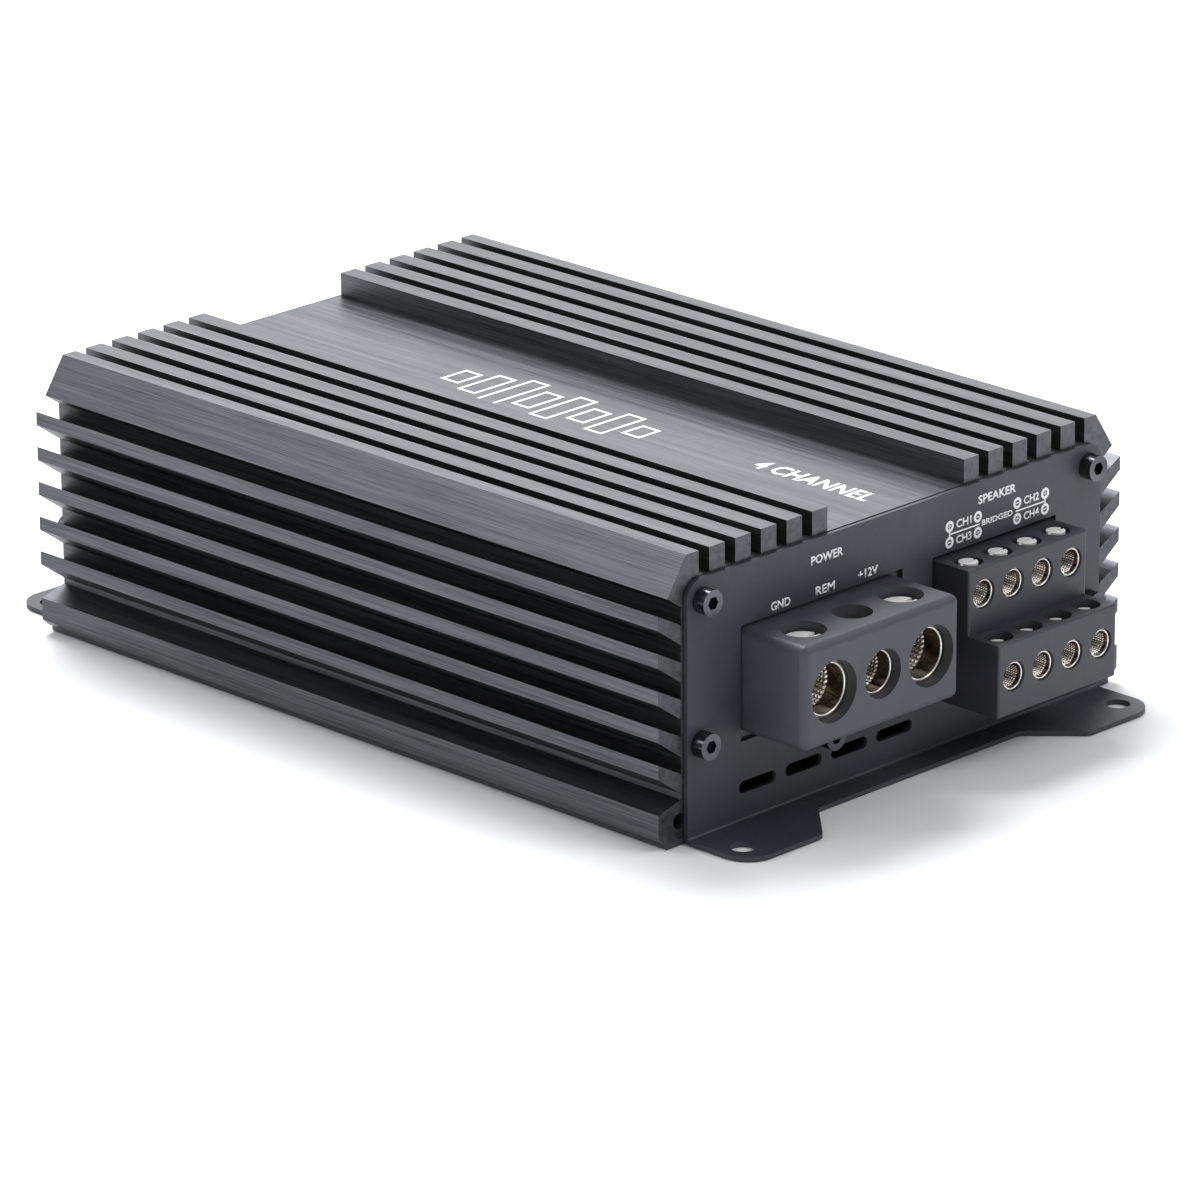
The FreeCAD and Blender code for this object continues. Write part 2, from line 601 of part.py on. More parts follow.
def power_barrel(way, kind, across, upright, half):
    """Plated clamp barrel: a wire bore, a tapped collar above it and a solder tail."""
    start = barrel_front("power_reach", f"{kind}_recess")
    end = f"{PANEL_FACE} - power_reach + barrel_depth"
    length = f"barrel_depth - {kind}_recess"
    tube = rod(f"{way}_tube", "+y", (across, start, "power_port_z"), f"{kind}_port_r - fit_gap",
               length)
    collar = rod(f"{way}_collar", "+z", (across, upright, "power_port_z"), f"{kind}_collar_r",
                 "collar_top - power_port_z")
    tail_back = "block_back + tail_out + tail_thick"
    sides = (f"{across} - {half}", f"{across} + {half}")
    tail = block(f"{way}_tail", sides, (f"{end} - 0.5", tail_back),
                 ("power_port_z - tail_thick / 2", "power_port_z + tail_thick / 2"))
    leg = block(f"{way}_leg", sides, ("block_back + tail_out", tail_back),
                ("board_under", "power_port_z"))
    blank = join(f"{way}_barrel_blank", [tube, collar, tail, leg])
    bore = rod(f"{way}_bore", "+y", (across, start, "power_port_z"), f"{kind}_bore_r",
               f"{length} - barrel_floor")
    thread = rod(f"{way}_thread", "+z", (across, upright, "power_port_z"),
                 f"{kind}_screw_r + fit_gap", "collar_top - power_port_z + 1")
    return cut(f"{way}_barrel", blank, [bore, thread])


def slotted_screw(name, across, along, top, radius, length, slot, slot_depth):
    """Headless clamp screw with a driver slot across its top and a chamfered foot."""
    shank = rod(f"{name}_shank", "-z", (across, along, top), radius, f"{length} - 0.6")
    foot = cone(f"{name}_foot", "-z", (across, along, f"{top} - ({length}) + 0.6"), radius,
                f"{radius} * 0.7", "0.6")
    groove = block(f"{name}_groove", (f"{across} - {radius} - 1", f"{across} + {radius} + 1"),
                   (f"{along} - {slot} / 2", f"{along} + {slot} / 2"),
                   (f"{top} - {slot_depth}", f"{top} + 1"))
    return keep(name, cut(f"{name}_solid", join(f"{name}_blank", [shank, foot]), [groove]))


def make_power_screws():
    for way, place, kind in POWER_WAYS:
        slotted_screw(f"{way}_clamp_screw", f"({POWER_MIDDLE} + {place} * power_pitch)",
                      f"({PANEL_FACE} - power_reach / 2)", f"{kind}_screw_top",
                      f"{kind}_screw_r", f"{kind}_screw_length", "power_slot",
                      "power_slot_depth")


# ---------------------------------------------------------------- speaker terminal block
TIERS = {
    "upper": {"reach": "upper_reach", "high": "speaker_high", "port": "upper_port_z",
              "collar": "upper_collar_top", "screw": "upper_screw", "pin": "2.2"},
    "lower": {"reach": "lower_reach", "high": "speaker_step", "port": "lower_port_z",
              "collar": "lower_collar_top", "screw": "lower_screw", "pin": "0.4"},
}


def speaker_spot(index):
    middle = f"{index} - {(SPEAKER_WAYS - 1) / 2}"
    return f"((speaker_left + speaker_right) / 2 + ({middle}) * speaker_pitch)"


def tier_spots():
    """Tier name, its sizes, way number and place across, for all the speaker ways."""
    for tier, part in TIERS.items():
        for index in range(SPEAKER_WAYS):
            yield tier, part, index, speaker_spot(index)


def make_speaker_block():
    """Two-step housing: the lower row of ports stands further out than the upper row."""
    sides = ("speaker_left", "speaker_right")
    lower_face = f"{PANEL_FACE} - lower_reach"
    upper_face = f"{PANEL_FACE} - upper_reach"
    upper = block("speaker_upper", sides, (upper_face, "block_back"),
                  ("speaker_low", "speaker_high"))
    lower = block("speaker_lower", sides, (lower_face, "block_back"),
                  ("speaker_low", "speaker_step"))
    steps = join("speaker_steps", [upper, lower])
    fronts = (size(lower_face), size(upper_face))
    steps = rounded("speaker_steps_soft", steps, "speaker_edge",
                    lambda c, d: (any(near(c.y, front) for front in fronts)
                                  and not (near(c.z, size("speaker_step"))
                                           and near(c.y, fronts[1]))))
    shoulder = block("speaker_shoulder",
                     ("speaker_cut_left - shoulder_lap", "speaker_cut_right + shoulder_lap"),
                     ("-case_length / 2 + shoulder_gap", "block_back"),
                     ("board_top", "shoulder_rise"))
    housing = join("speaker_housing", [steps, shoulder])
    tools = []
    barrels = []
    for tier, part, index, across in tier_spots():
        name = f"{tier}_{index + 1}"
        face = f"{PANEL_FACE} - {part['reach']}"
        upright = f"({face} + speaker_screw_in)"
        tools.append(rod(f"{name}_port", "+y", (across, face, part["port"]), "small_port_r",
                         "small_depth + small_recess + 0.3"))
        middle = (across, upright, part["port"])
        tools.append(rod(f"{name}_well", "+z", middle, "small_collar_r + fit_gap",
                         f"{part['collar']} - {part['port']} + 0.1"))
        tools.append(rod(f"{name}_top_hole", "+z", middle, "small_hole_r",
                         f"{part['high']} - {part['port']} + 0.01"))
        tools.append(block(f"{name}_pin_slot",
                           (f"{across} - pin_half - fit_gap", f"{across} + pin_half + fit_gap"),
                           (f"{face} + small_depth", "block_back + 1"),
                           (f"{part['port']} - pin_half - fit_gap",
                            f"{part['port']} + pin_half + fit_gap")))
        barrels.append(speaker_barrel(name, part, across, upright))
    keep("speaker_block", cut("speaker_case", housing, tools))
    keep("speaker_barrels", group("speaker_barrel_set", barrels))


def speaker_barrel(name, part, across, upright):
    """Small clamp barrel, like the power ones, with a square pin bent down to the board."""
    start = f"{PANEL_FACE} - {part['reach']} + small_recess"
    port = part["port"]
    tube = rod(f"{name}_tube", "+y", (across, start, port), "small_port_r - fit_gap",
               "small_depth")
    collar = rod(f"{name}_collar", "+z", (across, upright, port), "small_collar_r",
                 f"{part['collar']} - {port}")
    back = f"block_back + {part['pin']}"
    sides = (f"{across} - pin_half", f"{across} + pin_half")
    pin = block(f"{name}_pin", sides, (f"{start} + small_depth - 0.5", f"{back} + pin_out"),
                (f"{port} - pin_half", f"{port} + pin_half"))
    leg = block(f"{name}_leg", sides, (back, f"{back} + pin_out"), ("board_under", port))
    blank = join(f"{name}_barrel_blank", [tube, collar, pin, leg])
    bore = rod(f"{name}_bore", "+y", (across, start, port), "small_bore_r", "small_depth - 1")
    thread = rod(f"{name}_thread", "+z", (across, upright, port), "small_screw_r + fit_gap",
                 f"{part['collar']} - {port} + 1")
    return cut(f"{name}_barrel", blank, [bore, thread])


def make_speaker_screws():
    for tier, part, index, across in tier_spots():
        slotted_screw(f"speaker_screw_{tier}_{index + 1}", across,
                      f"({PANEL_FACE} - {part['reach']} + speaker_screw_in)",
                      f"{part['screw']}_top", "small_screw_r", f"{part['screw']}_length",
                      "small_slot", "small_slot_depth")


# ---------------------------------------------------------------- main board
def spacer_spots():
    return [(f"{side} * spacer_x", f"{row} * spacer_y") for side in (-1, 1) for row in (-1, 0, 1)]


def make_main_board():
    """Board on clinched spacers, cleared where the terminal legs and leads pass through."""
    board = block("board_blank", ("-board_half", "board_half"),
                  ("-board_half_length", "board_half_length"), ("board_under", "board_top"))
    holes = [rod(f"board_hole_{index}", "+z", (across, along, "board_under"), "clear_r",
                 "board_top - board_under")
             for index, (across, along) in enumerate(spacer_spots(), start=1)]
    for way, place, kind in POWER_WAYS:
        across = f"({POWER_MIDDLE} + {place} * power_pitch)"
        half = "tail_half" if kind == "main" else "tail_half / 2"
        back = "block_back + tail_out"
        holes.append(block(f"{way}_leg_hole", (f"{across} - {half} - 0.1", f"{across} + {half} + 0.1"),
                           (f"{back} - 0.1", f"{back} + tail_thick + 0.1"),
                           ("board_under", "board_top")))
    for tier, part, index, across in tier_spots():
        back = f"block_back + {part['pin']}"
        holes.append(block(f"{tier}_{index}_leg_hole",
                           (f"{across} - pin_half - 0.1", f"{across} + pin_half + 0.1"),
                           (f"{back} - 0.1", f"{back} + pin_out + 0.1"),
                           ("board_under", "board_top")))
    for side in (-1, 1):
        holes.append(block(f"lead_slot_{'left' if side < 0 else 'right'}",
                           tuple(sorted((f"{side} * (lead_x - lead_half - 0.1)",
                                         f"{side} * (lead_x + lead_half + 0.1)"), key=size)),
                           ("device_y - device_width", "device_y + 5 * device_pitch + device_width"),
                           ("board_under", "board_top")))
    keep("main_board", cut("board", board, holes))
    spacers = []
    screws = []
    for index, (across, along) in enumerate(spacer_spots(), start=1):
        tube = rod(f"spacer_tube_{index}", "+z", (across, along, "case_base"), "spacer_r",
                   "board_under - case_base")
        bore = rod(f"spacer_bore_{index}", "+z", (across, along, "case_base"), "tap_r",
                   "board_under - case_base")
        spacers.append(cut(f"spacer_{index}", tube, [bore]))
        head = rod(f"board_head_{index}", "+z", (across, along, "board_top"), "head_r",
                   "spacer_head")
        shank = rod(f"board_shank_{index}", "+z", (across, along, "spacer_tip"), "shank_r",
                    "board_top - spacer_tip")
        slot = block(f"board_screw_slot_{index}", (f"{across} - head_r - 1", f"{across} + head_r + 1"),
                     (f"{along} - 0.4", f"{along} + 0.4"),
                     ("board_top + spacer_head / 2", "board_top + spacer_head + 1"))
        screws.append(cut(f"board_screw_{index}", join(f"board_screw_blank_{index}", [head, shank]),
                          [slot]))
    keep("board_standoffs", group("spacers", spacers))
    keep("board_screws", group("board_screw_set", screws))


def ring(name, across, along, low, inner, outer, height):
    """A plain round ring standing on its end."""
    outside = rod(f"{name}_outside", "+z", (across, along, low), outer, height)
    inside = rod(f"{name}_inside", "+z", (across, along, low), inner, height)
    return cut(name, outside, [inside])


def wound_core(name, across, along, inner, outer, height, wind):
    """A ferrite ring and the layer of wire that wraps it all round."""
    low = f"board_top + {wind} + 0.3"
    core = ring(f"{name}_core", across, along, low, inner, outer, height)
    gap = "wind_gap"
    wrap = ring(f"{name}_wrap", across, along, f"{low} - {wind}", f"{inner} - {wind}",
                f"{outer} + {wind}", f"{height} + 2 * {wind}")
    wrap = rounded(f"{name}_wrap_soft", wrap, f"{wind} * 0.8", lambda c, d: abs(d.z) < 0.5)
    hollow = ring(f"{name}_hollow", across, along, f"{low} - {gap}", f"{inner} - {gap}",
                  f"{outer} + {gap}", f"{height} + 2 * {gap}")
    return core, cut(f"{name}_winding", wrap, [hollow])


def make_wound_parts():
    core, winding = wound_core("transformer", "transformer_x", "transformer_y", "core_inner",
                               "core_outer", "core_height", "winding")
    keep("transformer_core", core)
    keep("transformer_winding", winding)
    cores = []
    windings = []
    for index in range(4):
        across = f"(choke_x + {index % 2} * choke_step_x)"
        along = f"(choke_y + {index // 2} * choke_step_y)"
        core, winding = wound_core(f"choke_{index + 1}", across, along, "choke_inner",
                                   "choke_outer", "choke_height", "choke_wind")
        cores.append(core)
        windings.append(winding)
    keep("output_choke_cores", group("choke_cores", cores))
    keep("output_choke_windings", group("choke_windings", windings))


def capacitor(name, across, along, radius, height):
    """Can with a rolled top edge and a pressed groove near its foot."""
    can = rod(f"{name}_can", "+z", (across, along, "board_top"), radius, height)
    can = rounded(f"{name}_soft", can, "cap_edge",
                  lambda c, d: c.z > size("board_top") + 5 and abs(d.z) < 0.5)
    groove = ring(f"{name}_groove", across, along, "board_top + 3", f"{radius} - 0.6",
                  f"{radius} + 1", "1.2")
    return cut(name, can, [groove])


def make_capacitors():
    keep("input_capacitors", group("input_caps", [
        capacitor(f"input_cap_{index + 1}", f"(input_cap_x + {index} * input_cap_step)",
                  "input_cap_y", "input_cap_r", "input_cap_height") for index in range(3)]))
    keep("rail_capacitors", group("rail_caps", [
        capacitor(f"rail_cap_{index + 1}", f"(rail_cap_x + {index} * rail_cap_step)",
                  "rail_cap_y", "rail_cap_r", "rail_cap_height") for index in range(4)]))


def power_device(name, side, along):
    """Plastic power package with three leads, its back towards a side wall."""
    back = "wall_inner - pad_thick"

    def between(low, high):
        return (low, high) if side > 0 else (f"-({high})", f"-({low})")

    case = block(f"{name}_case", between(f"{back} - device_deep", back),
                 (f"{along} - device_width / 2", f"{along} + device_width / 2"),
                 ("device_low", "device_high"))
    leads = [block(f"{name}_lead_{index}", between("lead_x - lead_half", "lead_x + lead_half"),
                   (f"{along} + {index} * lead_step - lead_half",
                    f"{along} + {index} * lead_step + lead_half"),
                   ("board_under", "device_low + 1")) for index in (-1, 0, 1)]
    return join(name, [case] + leads)


def make_power_devices():
    """Six devices on each wall, an insulating pad behind them and a steel bar across them."""
    pads = []
    bars = []
    screws = []
    for side, name in ((-1, "supply"), (1, "output")):
        devices = [power_device(f"{name}_device_{index + 1}", side,
                                f"(device_y + {index} * device_pitch)") for index in range(6)]
        keep(f"{name}_transistors", group(f"{name}_devices", devices))

        def between(low, high):
            return (low, high) if side > 0 else (f"-({high})", f"-({low})")

        run = ("device_y - device_width / 2 - 1", "device_y + 5 * device_pitch + device_width / 2 + 1")
        strip = block(f"{name}_pad", between("wall_inner - pad_thick", "wall_inner"), run,
                      ("device_low - 0.5", "device_high + 0.5"))
        pads.append(cut(f"{name}_pad_cut", strip, [
            rod(f"{name}_pad_hole_{index}", "+x",
                (f"{side} * wall_inner - 1", along, "bar_screw_z"), "clear_r", "2")
            for index, along in enumerate(bar_screw_rows())]))
        face = "wall_inner - pad_thick - device_deep"
        bar = block(f"{name}_bar", between(f"{face} - bar_thick", face), run,
                    ("bar_low", "bar_high"))
        inner = f"{side} * ({face} - bar_thick)"
        inward = "-x" if side > 0 else "+x"
        outward = "+x" if side > 0 else "-x"
        bars.append(cut(f"{name}_bar_cut", bar, [
            rod(f"{name}_bar_hole_{index}", outward, (inner, along, "bar_screw_z"), "clear_r",
                "bar_thick") for index, along in enumerate(bar_screw_rows())]))
        for index, along in enumerate(bar_screw_rows()):
            start = (inner, along, "bar_screw_z")
            head = rod(f"{name}_bar_head_{index}", inward, start, "bar_head_r", "bar_head")
            shank = rod(f"{name}_bar_shank_{index}", outward, start, "shank_r",
                        f"bar_screw_end - ({face}) + bar_thick")
            screws.append(join(f"{name}_bar_screw_{index}", [head, shank]))
    keep("insulating_pads", group("pads", pads))
    keep("clamp_bars", group("bars", bars))
    keep("clamp_bar_screws", group("bar_screws", screws))


def make_driver_chips():
    chips = []
    for index in range(4):
        across = f"(chip_x + {index} * chip_step)"
        case = block(f"chip_case_{index}", (f"{across} - chip_half_x", f"{across} + chip_half_x"),
                     ("chip_y - chip_half_y", "chip_y + chip_half_y"),
                     ("board_top + 0.2", "board_top + chip_height"))
        legs = block(f"chip_legs_{index}",
                     (f"{across} - chip_half_x - 1.5", f"{across} + chip_half_x + 1.5"),
                     ("chip_y - chip_half_y + 1", "chip_y + chip_half_y - 1"),
                     ("board_top", "board_top + 0.3"))
        chips.append(join(f"chip_{index}", [case, legs]))
    keep("driver_chips", group("chips", chips))


# ---------------------------------------------------------------- rear sockets and controls
PANEL_REAR = "(case_length / 2 + sheet)"
COLLAR_FACE = f"({PANEL_REAR} + jack_collar_out)"


def jack_spots():
    return [(f"jack_x + {column} * jack_step_x", f"jack_z + {row} * jack_step_z")
            for column in (0, 1) for row in (0, 1)]


def knob_spots():
    return [f"(knob_x + {index} * knob_step)" for index in range(4)]


def switch_spots():
    return [f"(switch_x + {index} * switch_step)" for index in range(2)]


def lamp_spots():
    return [f"(lamp_z + {index} * lamp_step)" for index in range(2)]


def make_input_sockets():
    """Four signal sockets in one housing, two channels across and two rows."""
    body = block("jack_body", ("jack_left", "jack_right"), ("jack_back", "case_length / 2 - 0.2"),
                 ("jack_low", "jack_high"))
    collars = []
    bores = []
    shells = []
    contacts = []
    inserts = {"upper": [], "lower": []}
    for index, (across, up) in enumerate(jack_spots()):
        root = (across, "case_length / 2 - shell_in", up)
        collars.append(rod(f"jack_collar_{index}", "+y", root, "jack_collar_r",
                           "shell_in + sheet + jack_collar_out"))
        bores.append(rod(f"jack_bore_{index}", "+y", root, "shell_root_r + fit_gap",
                         "shell_in + sheet + jack_collar_out + 1"))
        shank = rod(f"jack_shell_root_{index}", "+y", root, "shell_root_r",
                    "shell_in + sheet + jack_collar_out")
        ring = rod(f"jack_shell_ring_{index}", "+y", (across, COLLAR_FACE, up), "shell_r",
                   "shell_out - jack_collar_out")
        shells.append(cut(f"jack_shell_{index}",
                          join(f"jack_shell_out_{index}", [shank, ring]),
                          [rod(f"jack_shell_in_{index}", "+y", root, "shell_inner",
                               "shell_in + sheet + shell_out + 1")]))
        insert = rod(f"jack_insert_out_{index}", "+y", root, "shell_inner - 0.02",
                     "shell_in + sheet + insert_out")
        hole = rod(f"jack_insert_hole_{index}", "+y", root, "contact_r + 0.02",
                   "shell_in + sheet + insert_out + 1")
        row = "lower" if index % 2 == 0 else "upper"
        inserts[row].append(cut(f"jack_insert_{index}", insert, [hole]))
        contact = rod(f"jack_contact_out_{index}", "+y", root, "contact_r",
                      "shell_in + sheet + contact_out")
        mouth = rod(f"jack_contact_in_{index}", "+y",
                    (across, "case_length / 2 - shell_in + 1", up), "contact_bore",
                    "shell_in + sheet + contact_out")
        contacts.append(cut(f"jack_contact_{index}", contact, [mouth]))
    keep("input_socket_body", cut("jack_housing", join("jack_blank", [body] + collars), bores))
    keep("input_socket_shells", group("jack_shells", shells))
    keep("input_socket_inserts_left", group("jack_inserts_upper", inserts["upper"]))
    keep("input_socket_inserts_right", group("jack_inserts_lower", inserts["lower"]))
    keep("input_socket_contacts", group("jack_contacts", contacts))


KNOB_NAMES = ("front_gain_knob", "rear_gain_knob", "high_pass_knob", "low_pass_knob")
SLIDER_NAMES = ("front_filter_slider", "rear_filter_slider")
LAMP_NAMES = ("power_lamp", "protect_lamp")


def make_controls():
    keep("control_board", block("control_plate", ("control_left", "control_right"),
                                ("control_back", "control_front"),
                                ("control_low", "control_high")))
    pots = []
    for name, across in zip(KNOB_NAMES, knob_spots()):
        case = block(f"{name}_pot", (f"{across} - pot_half_x", f"{across} + pot_half_x"),
                     ("control_front", "pot_front"),
                     ("knob_z - pot_half_z", "knob_z + pot_half_z"))
        start = (across, "pot_front - knob_in", "knob_z")
        bush = rod(f"{name}_bush", "+y", start, "knob_r + fit_gap", "knob_in + 1")
        pots.append(cut(f"{name}_pot_body", case, [bush]))
        tip = f"({PANEL_REAR} + knob_out)"
        shaft = rod(f"{name}_shaft", "+y", (across, "pot_front - knob_in + 0.2", "knob_z"),
                    "knob_r", f"{tip} - pot_front + knob_in - 0.2")
        slot = block(f"{name}_slot", (f"{across} - knob_slot / 2", f"{across} + knob_slot / 2"),
                     (f"{tip} - knob_slot_depth", f"{tip} + 1"),
                     ("knob_z - 0.8", "knob_z + knob_r + 1"))
        keep(name, cut(f"{name}_solid", shaft, [slot]))
    keep("control_bodies", group("pots", pots))
    cases = []
    for name, across in zip(SLIDER_NAMES, switch_spots()):
        case = block(f"{name}_case", (f"{across} - switch_half_x", f"{across} + switch_half_x"),
                     ("control_front", "switch_front"),
                     ("switch_z - switch_half_z", "switch_z + switch_half_z"))
        reach = "(slider_half_x + slider_travel + slider_gap)"
        track = block(f"{name}_track", (f"{across} - {reach}", f"{across} + {reach}"),
                      ("switch_front - slider_in - slider_gap", "switch_front + 1"),
                      ("switch_z - slider_half_z - slider_gap",
                       "switch_z + slider_half_z + slider_gap"))
        cases.append(cut(f"{name}_switch", case, [track]))
        keep(name, block(f"{name}_stem", (f"{across} - slider_half_x", f"{across} + slider_half_x"),
                         ("switch_front - slider_in", f"{PANEL_REAR} + slider_out"),
                         ("switch_z - slider_half_z", "switch_z + slider_half_z")))
    keep("switch_bodies", group("switches", cases))
    for name, up in zip(LAMP_NAMES, lamp_spots()):
        stem = rod(f"{name}_stem", "+y", ("lamp_x", "control_front", up), "lamp_r",
                   f"{PANEL_REAR} + lamp_out - control_front")
        keep(name, rounded(f"{name}_dome", stem, "lamp_r * 0.9",
                           lambda c, d: c.y > size(PANEL_REAR) and abs(d.y) < 0.5))


def make_board_header():
    """Pin strip that stands the control board on the main board and joins their circuits."""
    middle = "(control_left + control_right) / 2"
    strip = block("header_strip", (f"{middle} - header_length / 2", f"{middle} + header_length / 2"),
                  ("control_back - 2 * header_half", "control_back"),
                  ("board_top", "board_top + header_height"))
    keep("board_header", strip)


# ---------------------------------------------------------------- build, test and write
make_heatsink_case()
make_bottom_cover()
make_front_panel()
make_rear_panel()
make_panel_screws()
make_front_bracket()
make_power_block()
make_power_screws()
make_speaker_block()
make_speaker_screws()
make_main_board()
make_wound_parts()
make_capacitors()
make_power_devices()
make_driver_chips()
make_input_sockets()
make_controls()
make_board_header()

doc.recompute()
for item in doc.Objects:
    if "Invalid" in item.State or "Error" in item.State:
        raise RuntimeError(f"{item.Name} failed: {item.State}")
for label, item in nodes.items():
    if item.Shape.isNull() or not item.Shape.isValid() or not item.Shape.Solids:
        raise RuntimeError(f"{label} has no valid solid")

os.makedirs("parts", exist_ok=True)
for label, item in nodes.items():
    item.Shape.exportStep(f"parts/{label}.step")
    print(f"{label}: {len(item.Shape.Solids)} solid(s), {item.Shape.Volume / 1000:.2f} cm3")
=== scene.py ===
"""The looks of a four-channel car amplifier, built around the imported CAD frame.

The frame is in metres: +X across the case, -Y out of the terminal panel, +Z up. Measures in
this script are in millimetres unless they say otherwise, and MM turns them into metres.
"""

import math

import bmesh
import bpy
from mathutils import Matrix, Vector


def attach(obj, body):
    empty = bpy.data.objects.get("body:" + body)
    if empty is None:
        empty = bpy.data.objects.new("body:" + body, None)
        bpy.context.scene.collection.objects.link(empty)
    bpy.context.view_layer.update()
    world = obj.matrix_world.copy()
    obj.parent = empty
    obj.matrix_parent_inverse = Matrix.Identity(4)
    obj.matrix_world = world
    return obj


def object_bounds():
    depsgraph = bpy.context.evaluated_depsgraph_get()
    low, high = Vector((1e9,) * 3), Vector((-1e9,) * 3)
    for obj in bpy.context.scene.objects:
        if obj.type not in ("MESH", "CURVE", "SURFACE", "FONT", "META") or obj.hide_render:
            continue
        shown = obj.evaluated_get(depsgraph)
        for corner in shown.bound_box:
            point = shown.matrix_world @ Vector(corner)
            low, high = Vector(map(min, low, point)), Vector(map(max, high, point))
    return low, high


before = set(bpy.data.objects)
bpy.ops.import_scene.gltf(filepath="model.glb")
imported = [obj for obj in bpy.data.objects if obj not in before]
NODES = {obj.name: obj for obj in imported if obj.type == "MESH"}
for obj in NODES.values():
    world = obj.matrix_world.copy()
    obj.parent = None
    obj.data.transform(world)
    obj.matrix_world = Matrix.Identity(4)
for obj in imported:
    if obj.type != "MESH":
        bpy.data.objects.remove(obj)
cad_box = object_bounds()
MM = 0.001

# ---------------------------------------------------------------- measures
FRONT_FACE = -93.0
REAR_FACE = 93.0
FLOOR_OF_RECESS = 55.3

# the barrels that take wires: across, up, and where the mouth stands along Y
MAIN_PORTS = [(-37.15, 30.4, -107.6), (-8.85, 30.4, -107.6)]
REMOTE_PORTS = [(-23.0, 30.4, -107.8)]
WAY_COLUMNS = (15.025, 23.875, 32.725, 41.575)
UPPER_WAYS = [(x, 35.6, -101.9) for x in WAY_COLUMNS]
LOWER_WAYS = [(x, 20.0, -110.3) for x in WAY_COLUMNS]
MAIN_BORE, REMOTE_BORE, WAY_BORE = 5.2, 4.2, 2.6

# the knobs on the rear panel, and the scale of ticks round each, in degrees
KNOB_FIRST, KNOB_STEP, KNOB_UP = 2, 14, 36
SCALE_START, SCALE_STEP, SCALE_TICKS = -50, 28, 11
TICK_INNER, TICK_OUTER, LONG_TICK_OUTER = 4.3, 5.1, 5.6
LONG_TICKS = (0, 5, 10)
TICK_STROKE = 0.28

# the bridging diagram over the speaker block
DIAGRAM_MIDDLE, SIGN_OUTER, SIGN_INNER = 29.4, 14.5, 6.0
SIGN_HIGH, SIGN_LOW, DIAGRAM_LINE = 47.7, 44.3, 46.0
SIGN_HOLE, SIGN_RIM, SIGN_ARM, SIGN_STROKE = 0.62, 1.22, 0.42, 0.26

# where the teeth start round a bore and how far they run, in degrees: the rest is open at
# the top, where the clamp screw comes down
TEETH_FROM, TEETH_SWEEP = 28, 236


# ------------------------------------------------------------------ camera
# azimuth, elevation and roll in degrees, then metres and the focal length
CAMERA_ANGLES = (-45.0245, 19.7093, -0.339)
CAMERA_AT = (-1.06386, -1.07067, 0.55330)
CAMERA_LENS = 228.12


def make_camera():
    """A long lens, in front of the left corner."""
    azimuth, elevation, roll = (math.radians(a) for a in CAMERA_ANGLES)
    back = Vector((
        math.sin(azimuth) * math.cos(elevation),
        -math.cos(azimuth) * math.cos(elevation),
        math.sin(elevation),
    ))
    right = Vector((math.cos(azimuth), math.sin(azimuth), 0))
    up = back.cross(right)
    across = right * math.cos(roll) + up * math.sin(roll)
    upward = up * math.cos(roll) - right * math.sin(roll)
    data = bpy.data.cameras.new("camera")
    data.lens = CAMERA_LENS
    data.sensor_width = 36
    data.clip_start = 0.1
    data.clip_end = 50
    camera = bpy.data.objects.new("camera", data)
    turn = Matrix((across, upward, back)).transposed().to_4x4()
    camera.matrix_world = Matrix.Translation(CAMERA_AT) @ turn
    bpy.context.scene.collection.objects.link(camera)
    bpy.context.scene.camera = camera


make_camera()


